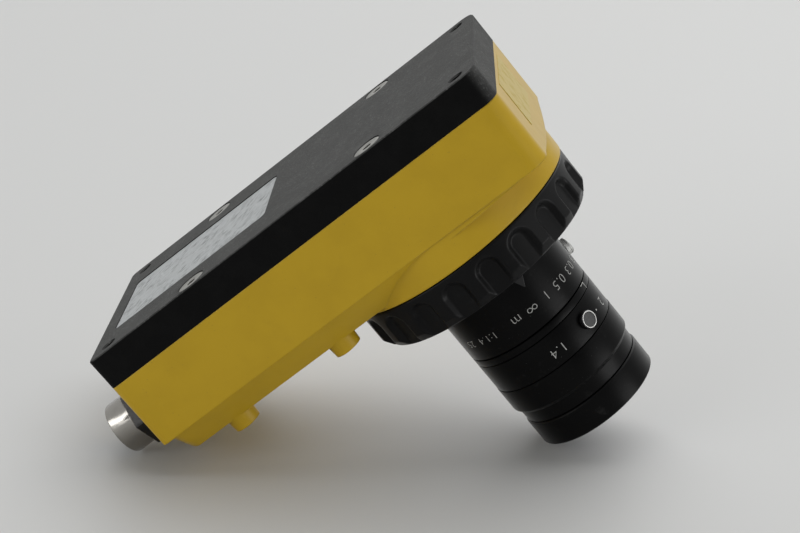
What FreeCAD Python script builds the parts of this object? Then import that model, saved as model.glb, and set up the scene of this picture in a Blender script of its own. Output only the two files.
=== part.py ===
# Machine vision camera with a C-mount lens, standing free of its cables.
# Row frame, millimetres: the origin is the centre of the back cover's outer face, +Z points out of
# that face, the lens looks along -Z, +X points from the connector end to the lens end.
# Heights are given as depths below the back face, so a depth d lies at z = -d.
import FreeCAD, Part
import math
import os

V = FreeCAD.Vector
os.makedirs("parts", exist_ok=True)

# ---- driving dimensions ----
body_length = 109.6          # along X, connector end to lens end
body_width = 61.4            # along Y
cover_depth = 8.0            # back cover thickness
crease_depth = 25.7          # where the long sides turn into the front bevels
front_depth = 32.3           # flat front of the housing
boss_depth = 33.3            # seat of the lens ring
lens_x = 24.0                # lens axis, concentric with the rounded end
boss_r = 30.5                # round boss that carries the lens ring
wall = 2.5                   # casting wall
end_round = 4.5              # vertical corners at the lens end
ledge_r, ledge_depth = 38.6, 27.05       # underside of the lens end, drafted down to the boss
cheek_round = 1.8            # vertical corners at the connector end
panel_recess = 2.0           # connector panel set back between the side cheeks

screw_x, screw_y = 25.2, 26.4            # cover screws
hole_x, hole_y = 49.7, 26.3              # rear mounting holes
hole_r, hole_depth = 1.65, 6.5           # M4 core
stud_xs, stud_y = (-9.0, -39.0), 20.5    # front accessory bosses
stud_r, stud_root_r, stud_depth = 3.4, 3.9, 35.5
stud_core_r = 1.25                       # M3 core

flange_depth = 36.0                      # C-mount flange
sensor_plane = flange_depth - 17.526     # C-mount back focus
mount_r = 12.7                           # 1 inch thread
ring_r, ring_front = 30.3, 44.2          # fluted lens ring
flute_count = 20
flute_half, flute_cut, flute_start, flute_turn = 2.35, 1.25, 35.9, -61.5
arrow_turn = -72.0
lens_r = 16.8                            # outside of the lens barrel
focus_front, band_front, iris_front = 60.1, 62.2, 70.1
barrel_front, lens_front = 77.2, 88.0
filter_r, thread_start = 14.25, 84.9     # filter thread in the front rim, in front of its relief groove

port_y, port_depth = 15.8, 20.0          # connector axes
port_reach = 65.2                        # connector fronts, from the origin
shell_r = 6.6

blade_count = 6
pivot_r = 12.0                           # circle of the iris blades' pivots
blade_in, blade_out = 7.5, 11.0          # blade body when the iris is open
lever, lever_open = 2.3, -105.0          # drive pin from the pivot: length and angle when open
blade_swing = 30.0                       # blade travel, open to closed
cam_swing = 50.0                         # iris ring travel, open to closed
blade_rest, cam_rest = 9.0, 15.0         # travel already used in the rest position
layer_step, blade_thick = 0.38, 0.2
pin_r, pin_play = 0.4, 0.06

half_l, half_w = body_length / 2, body_width / 2
panel_x = -half_l + panel_recess
inner_x = panel_x + wall


# ---- helpers ----
def save(name, shape):
    shape.exportStep("parts/" + name + ".step")


def block(x0, x1, y0, y1, top, bottom):
    """Box between two depths."""
    return Part.makeBox(x1 - x0, y1 - y0, bottom - top, V(x0, y0, -bottom))


def post(x, y, r, top, bottom):
    """Round post or hole along Z between two depths."""
    return Part.makeCylinder(r, bottom - top, V(x, y, -bottom))


def cone(x, y, r_top, r_bottom, top, bottom):
    return Part.makeCone(r_bottom, r_top, bottom - top, V(x, y, -bottom))


def rod_x(x0, x1, y, depth, r):
    """Round rod along X."""
    return Part.makeCylinder(r, x1 - x0, V(x0, y, -depth), V(1, 0, 0))


def hex_x(x0, x1, y, depth, across, turn):
    """Hexagon bar along X."""
    corner = across / math.sqrt(3)
    turns = [math.radians(turn + 60 * i) for i in range(7)]
    ring = [V(x0, y + corner * math.cos(a), -depth + corner * math.sin(a)) for a in turns]
    return Part.Face(Part.makePolygon(ring)).extrude(V(x1 - x0, 0, 0))


def plate(x0, x1, y_half, r_left, r_right, top, bottom):
    """Plate with rounded vertical corners, its own radius at each end."""
    solid = block(x0, x1, -y_half, y_half, top, bottom)
    for r, x_edge in ((r_left, x0), (r_right, x1)):
        edges = [e for e in solid.Edges if len(e.Vertexes) == 2
                 and all(abs(v.X - x_edge) < 1e-6 for v in e.Vertexes)
                 and abs(e.Vertexes[0].Z - e.Vertexes[1].Z) > 1e-6]
        if r:
            solid = solid.makeFillet(r, edges)
    return solid


def turned(profile):
    """Solid turned about the lens axis from (radius, depth) corners."""
    corners = [V(lens_x + r, 0, -d) for r, d in profile]
    face = Part.Face(Part.makePolygon(corners + corners[:1]))
    return face.revolve(V(lens_x, 0, 0), V(0, 0, 1), 360)


def tube(r_out, r_in, top, bottom):
    return turned([(r_in, top), (r_out, top), (r_out, bottom), (r_in, bottom)])


def about_lens(shape, degrees):
    copy = shape.copy()
    copy.rotate(V(lens_x, 0, 0), V(0, 0, 1), degrees)
    return copy


def radial(degrees, r0, r1, depth, r):
    """Rod that points away from the lens axis, between two radii."""
    rod = Part.makeCylinder(r, r1 - r0, V(lens_x + r0, 0, -depth), V(1, 0, 0))
    return about_lens(rod, degrees)


def group(shapes):
    return Part.makeCompound(shapes)


def four(x, y):
    return [(sx * x, sy * y) for sx in (-1, 1) for sy in (-1, 1)]


# ---- housing ----
bevel = front_depth - crease_depth       # the front bevels run at 45 degrees
bevel_step = 0.35                        # the bevels start slightly inside the side faces
floor_depth = 29.3                       # inside of the front wall
sensor_posts = [(lens_x + sx * 13, sy * 13) for sx in (-1, 1) for sy in (-1, 1)]
board_posts = [(-42.0, -21.0), (-42.0, 21.0), (46.0, -21.0), (46.0, 21.0)]
neck_out, neck_in, neck_end = 27.0, 24.5, 39.0


def bevelled(x0, x1, y_top, y_bottom, top, bottom):
    """Bar along X whose section narrows towards the front."""
    section = [V(x0, -y_top, -top), V(x0, y_top, -top), V(x0, y_bottom, -bottom), V(x0, -y_bottom, -bottom)]
    return Part.Face(Part.makePolygon(section + section[:1])).extrude(V(x1 - x0, 0, 0))


def housing_outside():
    upper = plate(-half_l, half_l, half_w, cheek_round, end_round, cover_depth, crease_depth)
    y_top = half_w - bevel_step
    front = bevelled(panel_x, lens_x, y_top, y_top - bevel, crease_depth, front_depth)
    end_edges = [e for e in front.Edges if all(abs(v.X - panel_x) < 1e-6 for v in e.Vertexes)
                 and min(v.Z for v in e.Vertexes) < -front_depth + 1e-6]
    front = front.makeFillet(2.6, end_edges)
    ledge = plate(lens_x, half_l, y_top, 0, end_round, crease_depth, ledge_depth)
    ledge = ledge.common(cone(lens_x, 0, ledge_r, boss_r, crease_depth, ledge_depth))
    boss = post(lens_x, 0, boss_r, crease_depth, boss_depth)
    boss = boss.makeFillet(0.4, [e for e in boss.Edges if e.BoundBox.ZMax < -boss_depth + 1e-6])
    outside = upper.fuse([front, ledge, boss]).removeSplitter()
    recess = block(-half_l - 1, panel_x, -half_w + 2.0, half_w - 2.0, cover_depth, boss_depth)
    return outside.cut(recess)


def housing_cavity():
    y_in = half_w - wall
    upper = plate(inner_x, half_l - wall, y_in, 1.5, 3.0, cover_depth, 25.0)
    lower = bevelled(inner_x, lens_x, y_in - 0.6, y_in - 4.9, 25.0, floor_depth)
    round_part = post(lens_x, 0, boss_r - wall, 25.0, floor_depth)
    return upper.fuse([lower, round_part])


def housing():
    shape = housing_outside().cut(housing_cavity())
    posts = [post(x, y, 3.0, cover_depth, 24.0) for x, y in four(screw_x, screw_y)]
    posts += [post(x, y, 2.4, 17.2, floor_depth + 1) for x, y in sensor_posts]
    posts += [post(x, y, 2.5, 12.2, floor_depth + 1) for x, y in board_posts[:2]]
    posts += [post(x, y, 2.5, 12.2, 26.0) for x, y in board_posts[2:]]
    posts += [cone(x, sy * stud_y, stud_root_r, stud_r, floor_depth, stud_depth) for x in stud_xs for sy in (-1, 1)]
    neck = tube(neck_out, neck_in, floor_depth + 1, neck_end)
    shape = shape.fuse(posts + [neck]).removeSplitter()
    holes = [post(lens_x, 0, 16.0, 20.0, neck_end)]
    holes += [post(x, y, 1.55, cover_depth - 1, 19.0) for x, y in four(screw_x, screw_y)]
    holes += [post(x, y, 0.85, 17.0, 26.0) for x, y in sensor_posts]
    holes += [post(x, y, 1.05, 12.0, 19.0) for x, y in board_posts]
    for x in stud_xs:
        for sy in (-1, 1):
            holes.append(post(x, sy * stud_y, stud_core_r, stud_depth - 6.5, stud_depth + 1))
            holes.append(cone(x, sy * stud_y, stud_core_r, stud_core_r + 0.5, stud_depth - 0.5, stud_depth))
    holes += [rod_x(panel_x - 1, inner_x + 1, sy * port_y, port_depth, 6.15) for sy in (-1, 1)]
    holes += [rod_x(panel_x - 1, inner_x + 1, 0, d, 1.15) for d in light_depths]
    holes += [about_lens(post(lens_x + 18.0, 0, 0.85, 30.5, boss_depth + 1), a) for a in mount_turns]
    holes.append(tube(neck_out + 1, neck_out - 0.9, 34.6, 35.8))
    for cutter in holes:
        shape = shape.cut(cutter)
    return shape


light_depths = (14.0, 19.0, 24.0)
mount_turns = (45, 135, 225, 315)

# ---- back cover ----
label_x0, label_x1, label_y = -50.2, -5.0, 16.4
pad_x, pad_half = -12.0, 10.0


def seal_path(top, bottom):
    outer = plate(panel_x + 0.6, half_l - 0.8, half_w - 0.9, 1.0, 3.6, top, bottom)
    inner = plate(panel_x + 1.8, half_l - 2.0, half_w - 2.1, 0.8, 2.4, top, bottom)
    return outer.cut(inner)


def back_cover():
    shape = plate(-half_l, half_l, half_w, cheek_round, end_round - 0.5, 0, cover_depth)
    rim = [e for e in shape.Edges if all(abs(v.Z) < 1e-6 for v in e.Vertexes)]
    shape = shape.makeChamfer(0.25, rim)
    pocket = plate(-46.0, 46.0, 21.5, 3.0, 3.0, 3.0, cover_depth)
    shape = shape.cut(pocket)
    shape = shape.fuse(block(pad_x - pad_half, pad_x + pad_half, -pad_half, pad_half, 2.5, 7.4))
    shape = shape.cut(plate(label_x0, label_x1, label_y, 1.5, 1.5, -1, 0.3))
    shape = shape.cut(seal_path(7.2, cover_depth))
    for x, y in four(screw_x, screw_y):
        shape = shape.cut(post(x, y, 1.6, -1, cover_depth + 1))
        shape = shape.cut(cone(x, y, 3.7, 1.6, 0, 2.3))
    for x, y in four(hole_x, hole_y):
        shape = shape.cut(post(x, y, hole_r, -1, hole_depth))
        shape = shape.cut(cone(x, y, hole_r + 0.35, hole_r, 0, 0.35))
    return shape


def cover_screws():
    screws = []
    for x, y in four(screw_x, screw_y):
        head = cone(x, y, 3.45, 1.5, 0.15, 2.1)
        shank = post(x, y, 1.5, 2.0, 17.0)
        socket = Part.Face(Part.makePolygon([V(x + 1.25 * math.cos(math.radians(60 * i)),
                                               y + 1.25 * math.sin(math.radians(60 * i)), -1.5)
                                             for i in range(7)])).extrude(V(0, 0, 3))
        screws.append(head.fuse(shank).cut(socket))
    return group(screws)


# ---- connectors ----
def port(sy, male):
    """Panel connector: hexagon flange and shell outside, threaded stub through the panel."""
    y = sy * port_y
    flange_front = -59.5
    flange = hex_x(flange_front, panel_x - 0.8, y, port_depth, 14.0, 16.0)
    sleeve = rod_x(-port_reach, flange_front, y, port_depth, 6.0 if male else shell_r)
    stub = rod_x(panel_x - 0.8, -47.6, y, port_depth, 6.0)
    shell = flange.fuse([sleeve, stub]).removeSplitter()
    front_edge = [e for e in shell.Edges if abs(e.BoundBox.XMax + port_reach) < 1e-6]
    shell = shell.makeFillet(0.6, front_edge)
    shell = shell.cut(rod_x(-port_reach - 1, -57.0, y, port_depth, 4.6 if male else 5.6))
    return shell.cut(rod_x(-58.0, -47.0, y, port_depth, 4.3))


def pin_circle(y, r, count, turn):
    steps = [math.radians(turn + 360 * i / count) for i in range(count)]
    return [(y + r * math.cos(a), port_depth - r * math.sin(a)) for a in steps]


def io_insert():
    return rod_x(-57.6, -48.0, port_y, port_depth, 4.25)


def io_pins():
    places = pin_circle(port_y, 2.8, 9, 0) + pin_circle(port_y, 1.1, 3, 30)
    return group([rod_x(-63.6, -57.6, y, d, 0.4) for y, d in places])


def lan_insert():
    shape = rod_x(-63.8, -48.0, -port_y, port_depth, 4.25)
    for y, d in lan_places():
        shape = shape.cut(rod_x(-64.0, -60.0, y, d, 0.5))
    key = block(-64.0, -60.0, -port_y - 0.5, -port_y + 0.5, port_depth - 4.6, port_depth - 3.6)
    return shape.cut(key)


def lan_places():
    return pin_circle(-port_y, 2.6, 7, 20) + [(-port_y, port_depth)]


def lan_contacts():
    return group([rod_x(-63.4, -60.0, y, d, 0.38) for y, d in lan_places()])


def connector_seals():
    rings = []
    for sy in (-1, 1):
        ring = rod_x(panel_x - 0.8, panel_x, sy * port_y, port_depth, 7.0)
        rings.append(ring.cut(rod_x(panel_x - 1, panel_x + 1, sy * port_y, port_depth, 6.15)))
    return group(rings)


def connector_nuts():
    nuts = []
    for sy in (-1, 1):
        nut = hex_x(inner_x, inner_x + 2.4, sy * port_y, port_depth, 16.0, 0)
        nuts.append(nut.cut(rod_x(inner_x - 1, inner_x + 4, sy * port_y, port_depth, 6.05)))
    return group(nuts)


def status_lights():
    pipes = []
    for d in light_depths:
        pipe = rod_x(panel_x, inner_x + 1.6, 0, d, 1.1)
        dome = Part.makeSphere(1.4, V(panel_x + 0.86, 0, -d))
        outside = block(-half_l, panel_x, -2, 2, d - 2, d + 2)
        pipes.append(pipe.fuse(dome.common(outside)).removeSplitter())
    return group(pipes)


# ---- boards ----
def main_board():
    shape = plate(-45.0, 51.0, 22.8, 1.0, 3.0, 10.6, 12.2)
    for x, y in board_posts:
        shape = shape.cut(post(x, y, 1.1, 10, 13))
    return shape


def board_parts():
    """Chips, chokes and capacitors on the back of the main board."""
    chips = [(12, 24, -8, 4, 1.2), (12, 24, 7, 17, 1.0), (30, 40, -14, -4, 1.6), (30, 38, 4, 12, 3.0),
             (-38, -30, -16, -8, 3.0), (-38, -31, 6, 13, 1.4), (-28, -25, -18, -13, 1.0)]
    parts = [block(x0, x1, y0, y1, 10.6 - h, 10.6) for x0, x1, y0, y1, h in chips]
    parts += [post(-34.0, y, 2.0, 5.6, 10.6) for y in (-4.0, 1.0)]
    return group(parts)


def board_screws():
    screws = [post(x, y, 1.9, 9.3, 10.6).fuse(post(x, y, 1.0, 10.6, 18.0)) for x, y in board_posts]
    return group(screws)


def connector_board():
    return block(-47.2, -45.6, -24.0, 24.0, 12.8, 26.5)


def sensor_board():
    shape = plate(lens_x - 16, lens_x + 16, 16, 1.5, 1.5, 15.6, 17.2)
    for x, y in sensor_posts:
        shape = shape.cut(post(x, y, 0.95, 15, 18))
    return shape


def sensor_screws():
    screws = [post(x, y, 1.6, 14.4, 15.6).fuse(post(x, y, 0.8, 15.6, 24.0)) for x, y in sensor_posts]
    return group(screws)


def image_sensor():
    body = block(lens_x - 7, lens_x + 7, -6.5, 6.5, 17.2, 19.2)
    return body.cut(block(lens_x - 5, lens_x + 5, -4.2, 4.2, sensor_plane, 20))


def sensor_window():
    return block(lens_x - 5.8, lens_x + 5.8, -5.2, 5.2, 19.2, 19.7)


def link_cable():
    """Flat cable between the main board and the sensor board."""
    t = 0.3
    path = [(14.0, 12.2), (14.0 + t, 12.2), (14.0 + t, 13.8), (18.0, 13.8), (18.0, 15.6), (18.0 - t, 15.6),
            (18.0 - t, 13.8 + t), (14.0, 13.8 + t)]
    corners = [V(x, -5, -d) for x, d in path]
    return Part.Face(Part.makePolygon(corners + corners[:1])).extrude(V(0, 10, 0))


# ---- lens mount ----
def c_mount():
    shape = turned([(12.75, 29.8), (15.9, 29.8), (15.9, boss_depth), (20.6, boss_depth),
                    (20.6, flange_depth - 0.3), (20.3, flange_depth), (12.75, flange_depth)])
    for a in mount_turns:
        hole = post(lens_x + 18.0, 0, 1.1, boss_depth - 1, flange_depth + 1)
        sink = cone(lens_x + 18.0, 0, 1.1, 2.1, flange_depth - 1.0, flange_depth)
        shape = shape.cut(about_lens(hole.fuse(sink), a))
    return shape


def mount_screws():
    screws = []
    for a in mount_turns:
        shank = post(lens_x + 18.0, 0, 0.8, 31.0, flange_depth - 0.9)
        head = cone(lens_x + 18.0, 0, 0.8, 1.85, flange_depth - 1.1, flange_depth - 0.05)
        screws.append(about_lens(shank.fuse(head), a))
    return group(screws)


def flute():
    """Cutter for one flute: flat floor, half-round rear end, open to the front."""
    floor_x = lens_x + ring_r - flute_cut
    centre = flute_start + flute_half
    bar = Part.makeBox(4, 2 * flute_half, ring_front + 1 - centre, V(floor_x, -flute_half, -ring_front - 1))
    end = Part.makeCylinder(flute_half, 4, V(floor_x, 0, -centre), V(1, 0, 0))
    return bar.fuse(end)


def arrow_tab():
    """Raised pointer on the front of the lens ring."""
    corners = [V(0, -1.6, -ring_front + 0.6), V(0, 1.6, -ring_front + 0.6), V(0, 0, -ring_front - 2.7)]
    tab = Part.Face(Part.makePolygon(corners + corners[:1])).extrude(V(1.4, 0, 0))
    tab.translate(V(lens_x + 27.2, 0, 0))
    return about_lens(tab, arrow_turn)


def lens_ring():
    shape = turned([(neck_out + 0.12, boss_depth + 0.15), (ring_r, boss_depth + 0.15), (ring_r, 42.0),
                    (28.9, ring_front), (22.0, ring_front), (20.6, ring_front - 1.6),
                    (20.6, neck_end + 0.5), (neck_out + 0.12, neck_end + 0.5)])
    cutter = flute()
    for i in range(flute_count):
        shape = shape.cut(about_lens(cutter, flute_turn + 360 / flute_count * i))
    return shape.fuse(arrow_tab())


# ---- lens, fixed part ----
def lens_base():
    return turned([(11.6, 32.6), (mount_r, 32.6), (mount_r, flange_depth), (15.2, flange_depth), (15.2, 38.4),
                   (13.6, 38.4), (13.6, 56.0), (12.9, 56.0), (12.9, 37.4), (11.6, 37.4)])


# ---- lens, moving cell ----
slot_r, slot_depth = 13.7, 67.85         # iris room and the level of its drive pin
drive_turn = 180.0


def cell_barrel():
    shape = turned([(11.6, 42.0), (12.8, 42.0), (12.8, 60.4), (14.6, 60.4), (14.6, iris_front + 0.1),
                    (slot_r, iris_front + 0.1), (slot_r, 63.8), (10.2, 63.8), (10.2, 60.0), (11.6, 60.0)])
    window = turned([(slot_r - 1, slot_depth - 0.65), (16.0, slot_depth - 0.65),
                     (16.0, slot_depth + 0.65), (slot_r - 1, slot_depth + 0.65)])
    span = cam_swing + 8
    sector = Part.makeCylinder(20, 10, V(lens_x, 0, -slot_depth - 5), V(0, 0, 1), span)
    sector.rotate(V(lens_x, 0, 0), V(0, 0, 1), drive_turn - (cam_swing - cam_rest) - 4)
    return shape.cut(window.common(sector))


def index_band():
    return turned([(14.65, 60.45), (lens_r, 60.45), (lens_r, band_front), (14.65, band_front)])


def front_barrel():
    return turned([(10.8, 69.0), (13.6, 69.0), (13.6, iris_front + 0.2), (lens_r + 0.1, iris_front + 0.2),
                   (lens_r + 0.1, barrel_front - 0.6), (16.0, barrel_front + 0.3), (15.85, 80.8),
                   (13.9, 80.8), (13.9, 83.6), (12.4, 83.6), (12.4, 77.0), (10.8, 77.0)])


def filter_rim():
    return turned([(13.95, 81.05), (15.9, 81.05), (16.2, 81.35), (16.2, lens_front - 0.3), (15.9, lens_front),
                   (filter_r + 0.3, lens_front), (filter_r, lens_front - 0.3), (filter_r, thread_start),
                   (filter_r + 0.45, thread_start), (filter_r + 0.45, 83.7), (13.95, 83.7)])


def element(edge_r, back, front, back_bulge, front_bulge):
    """Glass element from its edge depths and how far each face bulges outward; facets are cone bands."""
    bands = 4

    def rise(r, bulge):
        big = (edge_r ** 2 + bulge ** 2) / (2 * abs(bulge))
        return math.copysign(math.sqrt(big ** 2 - r ** 2) - (big - abs(bulge)), bulge)
    radii = [edge_r * k / bands for k in range(bands + 1)]
    rear = [(r, back - rise(r, back_bulge)) for r in radii]
    fore = [(r, front + rise(r, front_bulge)) for r in reversed(radii)]
    return turned(rear + fore)


glasses = {
    "front_glass": (12.2, 79.4, 82.0, -1.2, 1.8),
    "second_glass": (10.6, 72.8, 74.6, -2.0, 1.6),
    "rear_glass": (11.4, 54.4, 57.2, 2.2, -1.4),
    "last_glass": (11.4, 44.6, 46.6, 2.0, 1.1),
}


def front_retainer():
    return turned([(11.4, 82.6), (12.35, 82.6), (12.35, 83.65), (13.85, 83.65), (13.85, 84.1), (11.6, 84.1)])


def rear_retainer():
    return turned([(10.0, 42.3), (11.5, 42.3), (11.5, 43.8), (10.4, 43.8)])


def lens_spacer():
    return turned([(10.6, 46.85), (11.5, 46.85), (11.5, 53.8), (10.6, 53.8)])


# ---- iris ----
base_top, base_bottom = 63.85, 64.6
cam_top, cam_bottom = 67.1, 68.6


def pivot_at(turn):
    a = math.radians(turn)
    return V(lens_x + pivot_r * math.cos(a), pivot_r * math.sin(a), 0)


def iris_base():
    shape = tube(slot_r - 0.1, 7.1, base_top, base_bottom)
    for i in range(blade_count):
        p = pivot_at(i * 360 / blade_count)
        shape = shape.cut(post(p.x, p.y, pin_r + pin_play, base_top - 1, base_bottom + 1))
    return shape


def lever_point(swing):
    """Drive pin about the lens axis, for the blade whose pivot lies on +X: radius and angle."""
    a = math.radians(lever_open + swing)
    x, y = pivot_r + lever * math.cos(a), lever * math.sin(a)
    return math.hypot(x, y), math.degrees(math.atan2(y, x))


def blade(index):
    """Crescent with a pivot pin towards the base plate and a drive pin towards the cam."""
    top = base_bottom + 0.15 + layer_step * index
    bottom = top + blade_thick
    sweep = 116.0
    body = Part.makeCylinder(blade_out, blade_thick, V(lens_x, 0, -bottom), V(0, 0, 1), sweep)
    body.rotate(V(lens_x, 0, 0), V(0, 0, 1), -8.0)
    body = body.cut(post(lens_x, 0, blade_in, top - 1, bottom + 1))
    r, a = lever_point(0)
    px, py = lens_x + r * math.cos(math.radians(a)), r * math.sin(math.radians(a))
    pivot_x = lens_x + pivot_r
    ear = [post(pivot_x, 0, 1.0, top, bottom), post(px, py, 0.75, top, bottom),
           block(pivot_x - 2.0, pivot_x, -1.0, 1.0, top, bottom)]
    link = block(pivot_x, pivot_x + lever, -0.7, 0.7, top, bottom)
    link.rotate(V(pivot_x, 0, 0), V(0, 0, 1), lever_open)
    pins = [post(pivot_x, 0, pin_r, base_top + 0.1, bottom), post(px, py, pin_r, top, cam_bottom - 0.2)]
    shape = body.fuse(ear + [link] + pins).removeSplitter()
    shape.rotate(V(pivot_x, 0, 0), V(0, 0, 1), blade_rest)
    return about_lens(shape, index * 360 / blade_count)


def cam_slot():
    """Curved slot that turns the blades in step with the iris ring, for the blade on +X."""
    half = pin_r + pin_play
    steps = 12
    path = []
    for i in range(steps + 1):
        swing = blade_swing * i / steps
        r, a = lever_point(swing)
        a = math.radians(a + swing * cam_swing / blade_swing - cam_rest)
        path.append(V(lens_x + r * math.cos(a), r * math.sin(a), -cam_bottom - 1))
    sides = ([], [])
    for i, p in enumerate(path):
        along = path[min(i + 1, steps)] - path[max(i - 1, 0)]
        across = V(-along.y, along.x, 0).normalize() * half
        sides[0].append(p + across)
        sides[1].append(p - across)
    curves = []
    for side in sides:
        curve = Part.BSplineCurve()
        curve.interpolate(side)
        curves.append(curve.toShape())
    ends = [Part.makeLine(sides[0][k], sides[1][k]) for k in (0, -1)]
    wire = Part.Wire(Part.__sortEdges__([curves[0], ends[1], curves[1], ends[0]]))
    depth = V(0, 0, cam_bottom - cam_top + 2)
    slot = Part.Face(wire).extrude(depth)
    caps = [Part.makeCylinder(half, depth.z, path[k]) for k in (0, -1)]
    return slot.fuse(caps)


def iris_cam():
    shape = tube(slot_r - 0.15, 8.0, cam_top, cam_bottom)
    slot = cam_slot()
    for i in range(blade_count):
        shape = shape.cut(about_lens(slot, i * 360 / blade_count))
    return shape.cut(radial(drive_turn, 12.9, 15.0, slot_depth, 0.52))


def iris_drive():
    return radial(drive_turn, 13.0, 15.8, slot_depth, 0.5)


def iris_ring():
    shape = turned([(14.7, band_front + 0.2), (lens_r, band_front + 0.2), (lens_r, iris_front), (14.7, iris_front)])
    shape = shape.cut(radial(drive_turn, 14.0, 15.9, slot_depth, 0.52))
    return shape.cut(radial(iris_lock_turn, 14.0, 18.0, iris_lock_depth, 1.05))


# ---- focus ring and the lock screws ----
focus_lock_turn, focus_lock_depth = 25.0, 54.9
iris_lock_turn, iris_lock_depth = -44.0, 66.5


def focus_ring():
    shape = turned([(13.7, 41.6), (lens_r - 0.4, 41.6), (lens_r, 42.0), (lens_r, focus_front), (13.7, focus_front)])
    return shape.cut(radial(focus_lock_turn, 13.0, 18.0, focus_lock_depth, 1.05))


def lock_screw(turn, depth, tip, head_height):
    """Thumb screw that points at the lens axis, its end face dished."""
    head_r = 2.2
    base = lens_r + 0.15
    shank = radial(0, tip, base + 0.2, depth, 1.0)
    head = Part.makeCylinder(head_r, head_height, V(lens_x + base, 0, -depth), V(1, 0, 0))
    top_edge = [e for e in head.Edges if abs(e.BoundBox.XMin - lens_x - base - head_height) < 1e-6]
    head = head.makeChamfer(0.2, top_edge)
    dish = Part.makeCylinder(1.75, 1, V(lens_x + base + head_height - 0.2, 0, -depth), V(1, 0, 0))
    return about_lens(shank.fuse(head).cut(dish), turn)


# ---- all sub-parts ----
save("housing", housing())
save("back_cover", back_cover())
save("cover_seal", seal_path(7.25, cover_depth))
save("cover_screws", cover_screws())
save("rating_label", plate(label_x0 + 0.2, label_x1 - 0.2, label_y - 0.2, 1.3, 1.3, 0.15, 0.3))
save("end_label", block(half_l, half_l + 0.1, -15.0, 15.0, 9.2, 21.0))
save("io_shell", port(1, True))
save("io_insert", io_insert())
save("io_pins", io_pins())
save("lan_shell", port(-1, False))
save("lan_insert", lan_insert())
save("lan_contacts", lan_contacts())
save("connector_seals", connector_seals())
save("connector_nuts", connector_nuts())
save("status_lights", status_lights())
save("main_board", main_board())
save("main_chip", block(pad_x - 9, pad_x + 9, -9, 9, 8.6, 10.6))
save("heat_pad", block(pad_x - 8, pad_x + 8, -8, 8, 7.4, 8.6))
save("board_parts", board_parts())
save("board_screws", board_screws())
save("connector_board", connector_board())
save("sensor_board", sensor_board())
save("sensor_screws", sensor_screws())
save("image_sensor", image_sensor())
save("sensor_window", sensor_window())
save("link_cable", link_cable())
save("c_mount", c_mount())
save("mount_screws", mount_screws())
save("ring_seal", tube(neck_out + 0.05, neck_out - 0.85, 34.65, 35.75))
save("lens_ring", lens_ring())
save("lens_base", lens_base())
save("cell_barrel", cell_barrel())
save("index_band", index_band())
save("front_barrel", front_barrel())
save("filter_rim", filter_rim())
for name, numbers in glasses.items():
    save(name, element(*numbers))
save("front_retainer", front_retainer())
save("rear_retainer", rear_retainer())
save("lens_spacer", lens_spacer())
save("iris_base", iris_base())
save("iris_cam", iris_cam())
save("iris_drive", iris_drive())
save("iris_ring", iris_ring())
save("focus_ring", focus_ring())
save("focus_lock", lock_screw(focus_lock_turn, focus_lock_depth, 13.75, 1.6))
save("iris_lock", lock_screw(iris_lock_turn, iris_lock_depth, 14.7, 1.1))
for index in range(blade_count):
    save("iris_blade_%d" % (index + 1), blade(index))
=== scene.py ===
import math
import bmesh
import bpy
from mathutils import Matrix, Vector


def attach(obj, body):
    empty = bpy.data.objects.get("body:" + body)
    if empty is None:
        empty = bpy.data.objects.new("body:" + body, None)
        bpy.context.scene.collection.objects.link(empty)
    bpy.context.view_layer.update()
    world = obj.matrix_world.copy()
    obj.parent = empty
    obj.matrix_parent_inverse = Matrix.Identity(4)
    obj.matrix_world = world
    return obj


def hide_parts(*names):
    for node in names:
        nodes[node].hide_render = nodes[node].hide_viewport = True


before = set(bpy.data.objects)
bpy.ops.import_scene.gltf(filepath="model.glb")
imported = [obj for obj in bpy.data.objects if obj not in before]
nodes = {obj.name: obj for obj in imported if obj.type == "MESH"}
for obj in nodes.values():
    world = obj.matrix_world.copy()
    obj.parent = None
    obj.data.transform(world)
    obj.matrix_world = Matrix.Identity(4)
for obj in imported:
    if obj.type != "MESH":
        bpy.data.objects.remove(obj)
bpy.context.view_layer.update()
mm = 0.001
print("frame loaded:", len(nodes), "nodes")


# a socket that takes part in plain arithmetic
class Value:
    def __init__(self, finish, socket):
        self.finish = finish
        self.socket = socket

    def join(self, operation, first, second):
        return self.finish.add("ShaderNodeMath", {"operation": operation}, {0: first, 1: second})

    def __add__(self, other):
        return self.join("ADD", self, other)

    def __radd__(self, other):
        return self.join("ADD", other, self)

    def __rsub__(self, other):
        return self.join("SUBTRACT", other, self)

    def __mul__(self, other):
        return self.join("MULTIPLY", self, other)

    def __rmul__(self, other):
        return self.join("MULTIPLY", other, self)


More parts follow.
